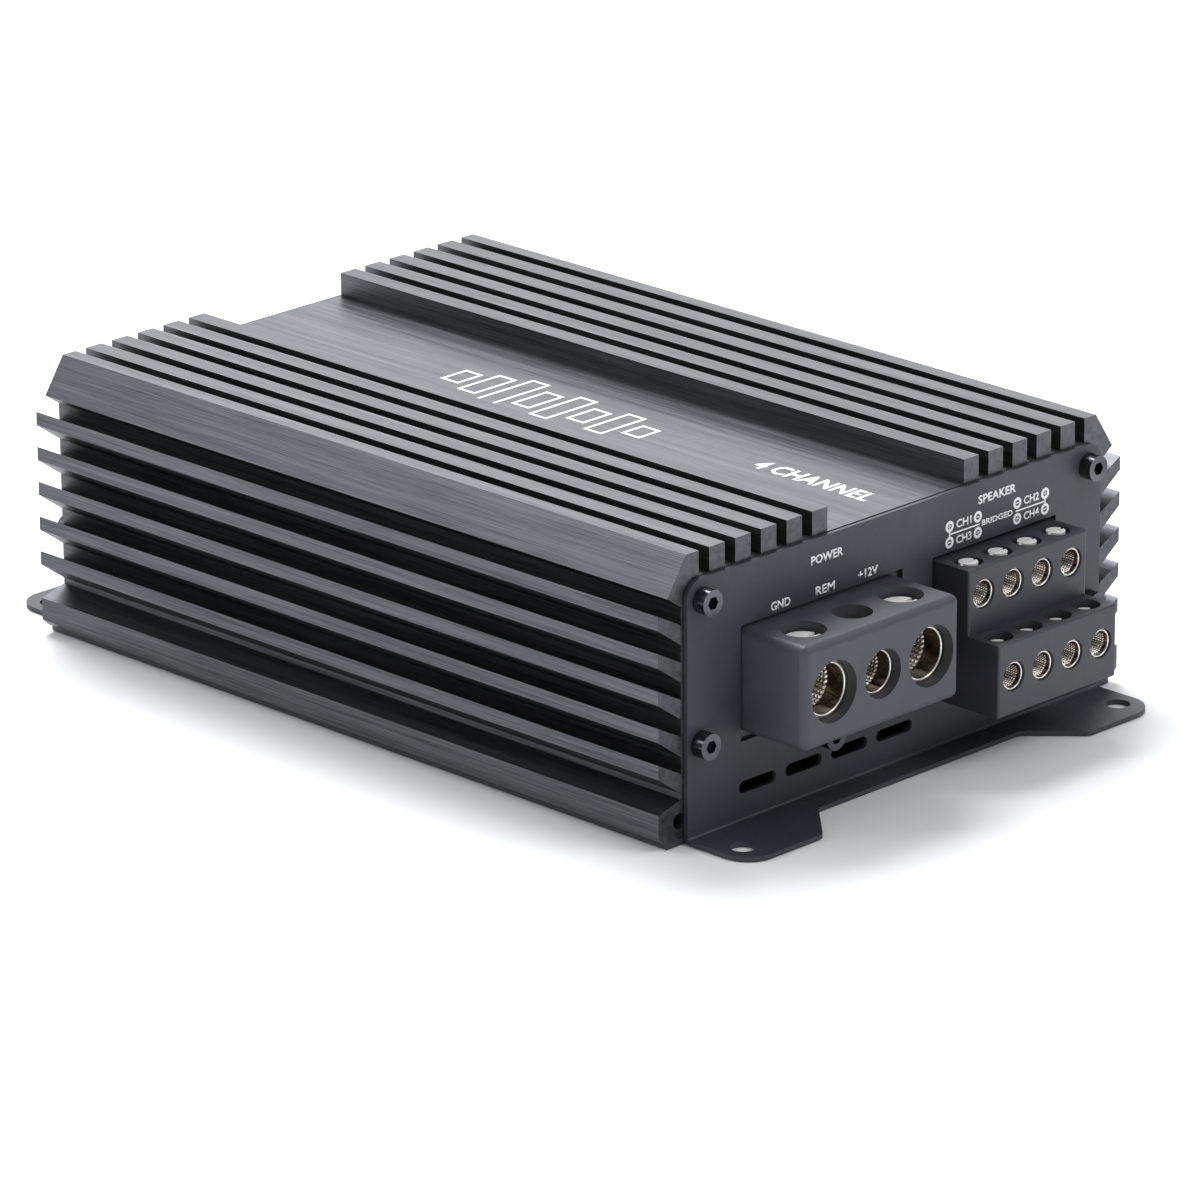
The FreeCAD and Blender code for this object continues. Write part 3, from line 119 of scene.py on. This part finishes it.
# --------------------------------------------------------------- materials
class Shader:
    """A node tree with the few calls that the materials below need."""

    def __init__(self, name, colour, roughness, metallic=0.0, **sockets):
        self.material = bpy.data.materials.new(name)
        self.material.use_nodes = True
        self.tree = self.material.node_tree
        self.main = self.tree.nodes["Principled BSDF"]
        self.set(self.main, "Base Color", (*colour, 1))
        self.set(self.main, "Roughness", roughness)
        self.set(self.main, "Metallic", metallic)
        for socket, value in sockets.items():
            self.set(self.main, socket.replace("_", " "), value)
        self.bump_height = None

    def set(self, node, socket, value):
        """Link a socket to another node's output, or give it a constant."""
        if isinstance(value, bpy.types.NodeSocket):
            self.tree.links.new(value, node.inputs[socket])
        else:
            node.inputs[socket].default_value = value

    def node(self, kind, result=0, **inputs):
        """One of a new node's outputs, with its sockets and settings filled in."""
        made = self.tree.nodes.new(kind)
        for key, value in inputs.items():
            if key in made.inputs:
                self.set(made, key, value)
            else:
                setattr(made, key, value)
        return made.outputs[result]

    def place(self, scale=(1, 1, 1)):
        """Object coordinates, which are the frame's own metres, scaled."""
        where = self.node("ShaderNodeTexCoord", "Object")
        return self.node("ShaderNodeMapping", Vector=where, Scale=scale)

    def noise(self, scale, detail=3.0, stretch=(1, 1, 1), roughness=0.55):
        """Noise with about this many cells to a metre."""
        return self.node(
            "ShaderNodeTexNoise", "Fac", Vector=self.place(stretch), Scale=scale,
            Detail=detail, Roughness=roughness)

    def ramp(self, value, low, high, start=0.3, end=0.7):
        """value, spread from low to high between start and end."""
        made = self.tree.nodes.new("ShaderNodeMapRange")
        for socket, number in (("From Min", start), ("From Max", end),
                               ("To Min", low), ("To Max", high)):
            made.inputs[socket].default_value = number
        self.set(made, "Value", value)
        return made.outputs[0]

    def blend(self, first, second, share):
        """The share of first, and the rest of second."""
        return self.math("ADD", self.math("MULTIPLY", first, share),
                         self.math("MULTIPLY", second, 1 - share))

    def math(self, operation, a, b):
        """The result of one sum with two values."""
        made = self.tree.nodes.new("ShaderNodeMath")
        made.operation = operation
        self.set(made, 0, a)
        self.set(made, 1, b)
        return made.outputs[0]

    def colours(self, value, low, high, start=0.3, end=0.7):
        """A colour between low and high, by value."""
        made = self.tree.nodes.new("ShaderNodeMix")
        made.data_type = "RGBA"
        made.inputs["A"].default_value = (*low, 1)
        made.inputs["B"].default_value = (*high, 1)
        self.set(made, "Factor", self.ramp(value, 0.0, 1.0, start, end))
        return made.outputs["Result"]

    def bump(self, height, distance, strength=1.0):
        """Relief of this depth in metres, on top of any relief already there."""
        made = self.tree.nodes.new("ShaderNodeBump")
        made.inputs["Strength"].default_value = strength
        made.inputs["Distance"].default_value = distance
        self.set(made, "Height", height)
        if self.bump_height is not None:
            self.set(made, "Normal", self.bump_height)
        self.bump_height = made.outputs[0]
        self.set(self.main, "Normal", self.bump_height)


def brushed_anodised():
    """Black anodised extrusion, with fine and broad brushing along the case."""
    s = Shader("black_anodised", (0.05, 0.05, 0.055), 0.36, 1.0)
    fine = s.noise(1.0, 4.0, (5200, 55, 5200))
    broad = s.noise(1.0, 3.0, (700, 14, 700))
    both = s.blend(fine, broad, 0.6)
    s.set(s.main, "Base Color", s.colours(
        both, (0.050, 0.051, 0.058), (0.150, 0.152, 0.165), 0.35, 0.65))
    s.set(s.main, "Roughness", s.ramp(both, 0.34, 0.50))
    s.bump(fine, 0.00002, 0.5)
    s.bump(broad, 0.00003, 0.25)
    return s.material


def powder_coat(name, colour, grain=2600.0):
    """Semi-matt paint with a fine orange peel."""
    s = Shader(name, colour, 0.5)
    peel = s.noise(grain, 2.0)
    cloud = s.noise(60.0, 3.0)
    low = tuple(c * 0.88 for c in colour)
    high = tuple(c * 1.12 for c in colour)
    s.set(s.main, "Base Color", s.colours(cloud, low, high))
    s.set(s.main, "Roughness", s.ramp(peel, 0.42, 0.58))
    s.bump(peel, 0.00003, 0.5)
    return s.material


def moulded(name, colour, roughness=0.5, grain=2600.0, depth=0.00005, tone=0.2):
    """Plastic or ceramic with a moulded grain, its colour varying by the tone share."""
    s = Shader(name, colour, roughness)
    texture = s.noise(grain, 3.0, roughness=0.7)
    cloud = s.noise(110.0, 3.0)
    both = s.blend(texture, cloud, 0.6)
    low = tuple(c * (1 - tone) for c in colour)
    high = tuple(c * (1 + tone) for c in colour)
    s.set(s.main, "Base Color", s.colours(both, low, high))
    s.set(s.main, "Roughness", s.ramp(texture, roughness - 0.07, roughness + 0.08))
    s.bump(texture, depth, 0.7)
    return s.material


def plated(name, bright, dull, roughness=0.2, grain=900.0, metallic=1.0):
    """Metal with a slight haze and fine scuffs."""
    s = Shader(name, bright, roughness, metallic)
    scuff = s.noise(grain, 5.0, roughness=0.65)
    haze = s.noise(160.0, 2.0)
    s.set(s.main, "Base Color", s.colours(haze, dull, bright))
    s.set(s.main, "Roughness", s.ramp(scuff, roughness * 0.8, roughness * 1.25))
    s.bump(scuff, 0.000004, 0.3)
    return s.material


def circuit_board():
    """Green solder mask over raised tracks."""
    s = Shader("circuit_board", (0.01, 0.10, 0.045), 0.35)
    cells = s.node("ShaderNodeTexVoronoi", "Distance", Vector=s.place((1, 1, 0)), Scale=420.0,
                   distance="CHEBYCHEV")
    cloud = s.noise(90.0, 2.0)
    tracks = s.math("GREATER_THAN", cells, 0.46)
    both = s.blend(tracks, cloud, 0.5)
    s.set(s.main, "Base Color", s.colours(
        both, (0.006, 0.07, 0.03), (0.03, 0.19, 0.085), 0.2, 0.8))
    s.bump(tracks, 0.00003, 0.4)
    return s.material


def enamelled_wire():
    """Lacquered copper wire, wound turn beside turn."""
    s = Shader("enamelled_copper", (0.55, 0.22, 0.08), 0.28, 1.0)
    turns = s.node("ShaderNodeTexWave", "Fac", Vector=s.place(), Scale=900.0,
                   Distortion=1.5, Detail=1.0, bands_direction="Y")
    tint = s.noise(300.0, 2.0)
    s.set(s.main, "Base Color", s.colours(tint, (0.42, 0.15, 0.05), (0.70, 0.30, 0.12)))
    s.bump(turns, 0.00025, 0.8)
    return s.material


def lens(name, colour):
    """Tinted clear plastic of an indicator lamp."""
    s = Shader(name, colour, 0.12, Transmission_Weight=0.55, IOR=1.49)
    cloud = s.noise(700.0, 2.0)
    low = tuple(c * 0.7 for c in colour)
    s.set(s.main, "Base Color", s.colours(cloud, low, colour))
    s.set(s.main, "Roughness", s.ramp(cloud, 0.08, 0.2))
    return s.material


def ink():
    """White screen print, slightly uneven."""
    s = Shader("printed_ink", (0.9, 0.9, 0.92), 0.55)
    wear = s.noise(2600.0, 3.0)
    s.set(s.main, "Base Color", s.colours(wear, (0.80, 0.80, 0.82), (0.95, 0.95, 0.96)))
    s.set(s.main, "Roughness", s.ramp(wear, 0.45, 0.65))
    return s.material


LOOKS = {
    "black_anodised": brushed_anodised(),
    "black_powder": powder_coat("black_powder", (0.040, 0.041, 0.052)),
    "black_steel": plated("black_steel", (0.13, 0.13, 0.15), (0.07, 0.07, 0.082), 0.24),
    "black_housing": moulded("black_housing", (0.054, 0.054, 0.066), 0.50),
    "nickel": plated("nickel", (0.86, 0.83, 0.77), (0.66, 0.63, 0.57)),
    "zinc_steel": plated("zinc_steel", (0.62, 0.63, 0.64), (0.42, 0.43, 0.45), 0.34),
    "circuit_board": circuit_board(),
    "ferrite": moulded("ferrite", (0.045, 0.045, 0.048), 0.6, 1800.0, 0.00006),
    "enamelled_copper": enamelled_wire(),
    "capacitor_sleeve": moulded("capacitor_sleeve", (0.012, 0.02, 0.075), 0.25, 500.0),
    "black_epoxy": moulded("black_epoxy", (0.02, 0.02, 0.021), 0.5, 2600.0),
    "thermal_pad": moulded("thermal_pad", (0.4, 0.4, 0.38), 0.8, 1400.0),
    "black_plastic": moulded("black_plastic", (0.018, 0.018, 0.02), 0.42),
    "white_insert": moulded("white_insert", (0.8, 0.8, 0.77), 0.3),
    "red_insert": moulded("red_insert", (0.5, 0.012, 0.014), 0.3),
    "gold_plate": plated("gold_plate", (0.95, 0.70, 0.30), (0.80, 0.55, 0.2), 0.18),
    "blue_lens": lens("blue_lens", (0.06, 0.2, 0.85)),
    "red_lens": lens("red_lens", (0.8, 0.03, 0.02)),
}
# finishes that share a slot with another node. The nickel copies below carry painted light:
# brighter ones stand in for highlights, darker ones for shade inside the bores
# screw tops: near-white, barely metallic nickel, a painted highlight standing in for light that
# the holes keep off them
PAINTED_HIGHLIGHT_SCREW_NICKEL = plated("screw_nickel_painted_highlight", (0.98, 0.97, 0.94), (0.92, 0.90, 0.86), 0.36,
                      metallic=0.12)
# bores: nickel darkened as painted shade inside the barrels
PAINTED_SHADE_BORE_NICKEL = plated("bore_nickel_painted_shade", (0.46, 0.42, 0.35), (0.24, 0.21, 0.17), 0.2)
# lips: nickel brightened as a painted highlight round each mouth
PAINTED_HIGHLIGHT_LIP_NICKEL = plated("lip_nickel_painted_highlight", (0.95, 0.93, 0.88), (0.85, 0.82, 0.76), 0.3)
# teeth: nickel darkened as painted shade deep in the bores
PAINTED_SHADE_TOOTH_NICKEL = plated("tooth_nickel_painted_shade", (0.74, 0.69, 0.61), (0.34, 0.30, 0.25), 0.18)
SPEAKER_HOUSING = moulded("speaker_housing", (0.034, 0.034, 0.044), 0.46)
INK = ink()


def look_of(name, slot):
    """The material for a node: its slot's, or its own where the slot's doesn't fit it."""
    # clamp and speaker screws take nickel brightened as a painted highlight; the barrels take
    # nickel darkened as painted shade
    if name.endswith("_clamp_screw") or name.startswith("speaker_screw_"):
        return PAINTED_HIGHLIGHT_SCREW_NICKEL
    return {"power_barrels": PAINTED_SHADE_BORE_NICKEL, "speaker_barrels": PAINTED_SHADE_BORE_NICKEL,
            "speaker_block": SPEAKER_HOUSING}.get(name, LOOKS[slot])


for name, obj in NODES.items():
    look = look_of(name, obj.data.materials[0].name.split(".")[0])
    obj.data.materials.clear()
    obj.data.materials.append(look)


# ------------------------------------------------------------ eased edges
def ease(name, width):
    """Round a node's sharp edges by width. Its flat faces are joined up first."""
    obj = NODES[name]
    weld = obj.modifiers.new("weld", "WELD")
    weld.merge_threshold = 0.000002
    flat = obj.modifiers.new("flat", "DECIMATE")
    flat.decimate_type = "DISSOLVE"
    flat.angle_limit = math.radians(0.5)
    bevel = obj.modifiers.new("bevel", "BEVEL")
    bevel.width = width * MM
    bevel.segments = 2
    bevel.limit_method = "ANGLE"
    bevel.angle_limit = math.radians(35)
    bevel.use_clamp_overlap = True
    bevel.harden_normals = True


EASED = {
    "heatsink_case": 0.22, "front_panel": 0.2, "rear_panel": 0.2, "speaker_block": 0.35,
    "bottom_cover": 0.2,
}
for name, width in EASED.items():
    ease(name, width)


# ----------------------------------------------------------------- legends
INK_THICK = 0.05
INK_LIFT = 0.02
PRINT_FRONT = FRONT_FACE - INK_LIFT
PRINT_REAR = REAR_FACE + INK_LIFT
PRINT_TOP = FLOOR_OF_RECESS + INK_LIFT

FACING_FRONT = Matrix.Rotation(math.radians(90), 4, "X")
FACING_REAR = Matrix.Rotation(math.radians(180), 4, "Z") @ FACING_FRONT
FACING_UP = Matrix.Rotation(math.radians(-90), 4, "Z")


def lettering(name, text, width, cap, centre, turn, bold=0.026):
    """Text as a thin raised print, width by cap, its middle at centre."""
    curve = bpy.data.curves.new(name, "FONT")
    curve.body = text
    curve.offset = bold
    curve.resolution_u = 3
    shaped = bpy.data.objects.new(name + "_curve", curve)
    bpy.context.scene.collection.objects.link(shaped)
    bpy.context.view_layer.update()
    evaluated = shaped.evaluated_get(bpy.context.evaluated_depsgraph_get())
    mesh = bpy.data.meshes.new_from_object(evaluated)
    bpy.data.objects.remove(shaped)
    bpy.data.curves.remove(curve)
    mesh.name = name
    low, high = ([edge(v.co[i] for v in mesh.vertices) for i in (0, 1)] for edge in (min, max))
    across, upward = (high[i] - low[i] for i in (0, 1))
    middle = Matrix.Translation((-(low[0] + high[0]) / 2, -(low[1] + high[1]) / 2, 0))
    scale = Matrix.Diagonal((width * MM / across, cap * MM / upward, 1, 1))
    mesh.transform(Matrix.Translation(Vector(centre) * MM) @ turn @ scale @ middle)
    return printed(name, mesh)


def printed(name, mesh):
    """A flat mesh as a thin layer of ink."""
    mesh.materials.clear()
    mesh.materials.append(INK)
    obj = bpy.data.objects.new(name, mesh)
    bpy.context.scene.collection.objects.link(obj)
    thick = obj.modifiers.new("thickness", "SOLIDIFY")
    thick.thickness = INK_THICK * MM
    thick.offset = 0
    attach(obj, "root")
    return obj


def flat_piece(name, polygons, turn, centre):
    """Thin closed prints, each polygon given in its own plane."""
    bm = bmesh.new()
    for outline in polygons:
        bm.faces.new([bm.verts.new((x * MM, y * MM, 0)) for x, y in outline])
    mesh = bpy.data.meshes.new(name)
    bm.to_mesh(mesh)
    bm.free()
    mesh.transform(Matrix.Translation(Vector(centre) * MM) @ turn)
    return printed(name, mesh)


def bar(x0, y0, x1, y1, width):
    """A straight line of ink from one point to another, as a polygon."""
    length = math.hypot(x1 - x0, y1 - y0)
    nx, ny = -(y1 - y0) / length * width / 2, (x1 - x0) / length * width / 2
    return [(x0 + nx, y0 + ny), (x0 - nx, y0 - ny), (x1 - nx, y1 - ny), (x1 + nx, y1 + ny)]


def ring(x, y, inner, outer, start=0.0, end=360.0, steps=28):
    """A ring of ink, as short polygons side by side. Angles are in degrees."""
    angles = [math.radians(start + (end - start) * k / steps) for k in range(steps + 1)]
    rims = [[(x + r * math.cos(a), y + r * math.sin(a)) for a in angles] for r in (inner, outer)]
    return [[rims[0][k], rims[1][k], rims[1][k + 1], rims[0][k + 1]] for k in range(steps)]


def front_legends():
    """What each terminal is for."""
    for name, text, width, cap, x, z in (
        ("legend_power", "POWER", 9.3, 1.9, -21.3, 50.6),
        ("legend_ground", "GND", 5.6, 1.9, -34.7, 43.9),
        ("legend_remote", "REM", 5.6, 1.9, -21.8, 43.9),
        ("legend_battery", "+12V", 5.8, 1.9, -9.3, 44.1),
        ("legend_speaker", "SPEAKER", 11.4, 1.9, 29.2, 51.2),
        ("legend_bridged", "BRIDGED", 9.4, 1.3, 29.3, 46.05),
        ("legend_channel_1", "CH1", 4.6, 1.8, 19.2, 47.7),
        ("legend_channel_3", "CH3", 4.6, 1.8, 19.2, 44.3),
        ("legend_channel_2", "CH2", 4.6, 1.8, 39.7, 47.7),
        ("legend_channel_4", "CH4", 4.6, 1.8, 39.7, 44.3),
    ):
        lettering(name, text, width, cap, (x, PRINT_FRONT, z), FACING_FRONT)


def channel_marks():
    """Circles with the sign of each speaker way, and the lines that join the bridged pairs."""
    shapes = []
    for side in (-1, 1):
        outer = DIAGRAM_MIDDLE + side * SIGN_OUTER
        inner = DIAGRAM_MIDDLE + side * SIGN_INNER
        for z in (SIGN_HIGH, SIGN_LOW):
            for x, plus in ((outer, z == SIGN_HIGH), (inner, z == SIGN_LOW)):
                shapes += ring(x, z, SIGN_HOLE, SIGN_RIM)
                shapes.append(bar(x - SIGN_ARM, z, x + SIGN_ARM, z, SIGN_STROKE))
                if plus:
                    shapes.append(bar(x, z - SIGN_ARM, x, z + SIGN_ARM, SIGN_STROKE))
        shapes.append(bar(outer, DIAGRAM_LINE + 0.5, outer, DIAGRAM_LINE - 0.5, 0.4))
        shapes.append(bar(outer, DIAGRAM_LINE, inner - side * 0.5, DIAGRAM_LINE, 0.32))
    flat_piece("legend_signs", shapes, FACING_FRONT, (0, PRINT_FRONT, 0))


def emblem():
    """Level bars of different heights, each outlined in a thin line."""
    first, step, wide, line = -29, 7.6, 4.6, 0.75
    half = line / 2
    lines = []
    for k, tall in enumerate((7, 12, 17, 10, 15, 8, 13, 6)):
        left = first + k * step
        right = left + wide
        top = tall / 2
        for x in (left, right):
            lines.append(bar(x, -top - half, x, top + half, line))
        for y in (-top, top):
            lines.append(bar(left + half, y, right - half, y, line))
    flat_piece("emblem", lines, FACING_UP, (-1.5, 5.0, PRINT_TOP))
    lettering("emblem_words", "4 CHANNEL", 32.0, 5.2, (0.5, -69.0, PRINT_TOP), FACING_UP,
              bold=0.03)


def rear_legends():
    """Names over the sockets and controls, and a scale of ticks round each knob."""
    for name, text, width, cap, x, z in (
        ("legend_input", "INPUT", 9.0, 1.9, -37.0, 46.5),
        ("legend_right", "R", 1.4, 1.7, -52.6, 20.5),
        ("legend_left", "L", 1.2, 1.7, -52.6, 36.0),
        ("legend_front", "FRONT", 7.4, 1.6, -44.5, 10.8),
        ("legend_rear", "REAR", 5.8, 1.6, -29.5, 10.8),
        ("legend_lamp_on", "ON", 3.0, 1.5, -12.0, 19.4),
        ("legend_lamp_fault", "FAULT", 6.2, 1.5, -12.0, 39.6),
        ("legend_gain_front", "LEVEL F", 8.4, 1.5, 2.0, 43.6),
        ("legend_gain_rear", "LEVEL R", 8.4, 1.5, 16.0, 43.6),
        ("legend_high", "HIGH Hz", 8.4, 1.5, 30.0, 43.6),
        ("legend_low", "LOW Hz", 8.0, 1.5, 44.0, 43.6),
        ("legend_filter_front", "FILTER F", 9.4, 1.5, 9.0, 16.2),
        ("legend_filter_rear", "FILTER R", 9.4, 1.5, 37.0, 16.2),
    ):
        lettering(name, text, width, cap, (x, PRINT_REAR, z), FACING_REAR)
    ticks = []
    for k in range(4):
        x = -(KNOB_FIRST + KNOB_STEP * k)
        for step in range(SCALE_TICKS):
            a = math.radians(SCALE_START + SCALE_STEP * step)
            near, far = TICK_INNER, LONG_TICK_OUTER if step in LONG_TICKS else TICK_OUTER
            ticks.append(bar(x + near * math.cos(a), KNOB_UP + near * math.sin(a),
                             x + far * math.cos(a), KNOB_UP + far * math.sin(a), TICK_STROKE))
    flat_piece("legend_ticks", ticks, FACING_REAR, (0, PRINT_REAR, 0))


# -------------------------------------------------- teeth inside the ports
def teeth(name, ports, mouth, depth, radius, tall, pitch):
    """Rings of teeth that grip a wire, open at the top where the clamp screw comes down."""
    bm = bmesh.new()
    steps = 40
    for x, z, y_mouth in ports:
        for k in range(int(depth / pitch)):
            y = y_mouth + mouth + k * pitch
            rows = []
            for step in range(steps + 1):
                a = math.radians(TEETH_FROM - TEETH_SWEEP * step / steps)
                crest = radius - tall * (1.0 if step % 2 else 0.3)
                profile = ((radius + 0.02, y), (crest, y + pitch * 0.45),
                           (radius + 0.02, y + pitch * 0.9))
                rows.append([
                    bm.verts.new(Vector((x + r * math.cos(a), along, z + r * math.sin(a))) * MM)
                    for r, along in profile])
            for one, two in zip(rows, rows[1:]):
                for i in range(3):
                    j = (i + 1) % 3
                    bm.faces.new((one[i], two[i], two[j], one[j]))
            bm.faces.new(rows[0])
            bm.faces.new(rows[-1])
    bmesh.ops.recalc_face_normals(bm, faces=bm.faces)
    mesh = bpy.data.meshes.new(name)
    bm.to_mesh(mesh)
    bm.free()
    # the teeth take nickel darkened as painted shade
    return nickel_piece(name, mesh, PAINTED_SHADE_TOOTH_NICKEL)


def nickel_piece(name, mesh, material):
    """A mesh as a plated piece that stays with the case."""
    mesh.materials.append(material)
    obj = bpy.data.objects.new(name, mesh)
    bpy.context.scene.collection.objects.link(obj)
    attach(obj, "root")
    return obj


def lips(name, ports, radius, round_r):
    """The rolled lip at the mouth of each barrel."""
    bm = bmesh.new()
    around, across = 56, 10
    for x, z, y in ports:
        rows = []
        for step in range(around):
            a = 2 * math.pi * step / around
            row = []
            for turn in range(across):
                b = 2 * math.pi * turn / across
                r = radius + round_r * math.cos(b)
                row.append(bm.verts.new((
                    (x + r * math.cos(a)) * MM, (y + round_r * math.sin(b)) * MM,
                    (z + r * math.sin(a)) * MM)))
            rows.append(row)
        for step in range(around):
            one, two = rows[step], rows[(step + 1) % around]
            for turn in range(across):
                after = (turn + 1) % across
                face = bm.faces.new((one[turn], two[turn], two[after], one[after]))
                face.smooth = True
    bmesh.ops.recalc_face_normals(bm, faces=bm.faces)
    mesh = bpy.data.meshes.new(name)
    bm.to_mesh(mesh)
    bm.free()
    # the lips take nickel brightened as a painted highlight
    return nickel_piece(name, mesh, PAINTED_HIGHLIGHT_LIP_NICKEL)


def port_metal():
    """The teeth and the rolled lip of every port."""
    # name, ports, start behind the mouth, depth, bore, tooth height, pitch
    for row in (
        ("wide_port_teeth", MAIN_PORTS, 4.4, 5.2, MAIN_BORE, 0.6, 0.85),
        ("narrow_port_teeth", REMOTE_PORTS, 3.2, 5.8, REMOTE_BORE, 0.5, 0.8),
        ("upper_way_teeth", UPPER_WAYS, 1.0, 5.8, WAY_BORE, 0.28, 0.6),
        ("lower_way_teeth", LOWER_WAYS, 1.0, 5.8, WAY_BORE, 0.28, 0.6),
    ):
        teeth(*row)
    # name, ports, radius to the middle of the lip, half its thickness
    for row in (
        ("wide_port_lips", MAIN_PORTS, 5.45, 0.24),
        ("narrow_port_lips", REMOTE_PORTS, 4.42, 0.22),
        ("upper_way_lips", UPPER_WAYS, 2.8, 0.19),
        ("lower_way_lips", LOWER_WAYS, 2.8, 0.19),
    ):
        lips(*row)


front_legends()
channel_marks()
emblem()
rear_legends()
port_metal()


# -------------------------------------------------------------- the studio
# name, then place, height aimed at and size in metres, and power in watts
SOFTBOXES = (
    ("back_softbox", (0.45, 0.95, 1.75), 0.03, (1.0, 1.0), 44),
    ("far_softbox", (1.15, 1.35, 0.85), 0.03, (1.8, 0.8), 9),
    ("left_softbox", (-1.1, 0.95, 1.2), 0.03, (0.9, 0.8), 9),
    ("front_fill", (0.7, -1.4, 1.5), 0.02, (1.2, 0.8), 12),
)


def area_light(name, at, aim_height, size, power):
    """A softbox aimed over the middle of the object. Metres and watts."""
    data = bpy.data.lights.new(name, "AREA")
    data.shape = "RECTANGLE"
    data.size, data.size_y = size
    data.energy = power
    light = bpy.data.objects.new(name, data)
    light.location = at
    light.rotation_mode = "QUATERNION"
    aim = Vector((0, 0, aim_height)) - Vector(at)
    light.rotation_quaternion = aim.to_track_quat("-Z", "Y")
    bpy.context.scene.collection.objects.link(light)


def studio():
    """A plain pale floor, an even sky and four softboxes."""
    mesh = bpy.data.meshes.new("floor")
    bm = bmesh.new()
    bmesh.ops.create_grid(bm, x_segments=1, y_segments=1, size=12)
    bm.to_mesh(mesh)
    bm.free()
    floor = bpy.data.objects.new("floor", mesh)
    floor.location.z = cad_box[0].z - 0.0002
    bpy.context.scene.collection.objects.link(floor)
    s = Shader("floor", (0.93, 0.93, 0.93), 0.9)
    s.set(s.main, "Specular IOR Level", 0.0)
    mesh.materials.append(s.material)
    world = bpy.data.worlds.new("studio")
    world.use_nodes = True
    sky = world.node_tree.nodes["Background"]
    sky.inputs["Color"].default_value = (0.90, 0.94, 1.0, 1)
    sky.inputs["Strength"].default_value = 0.5
    bpy.context.scene.world = world
    for softbox in SOFTBOXES:
        area_light(*softbox)
    bpy.context.scene.view_settings.view_transform = "Standard"


studio()
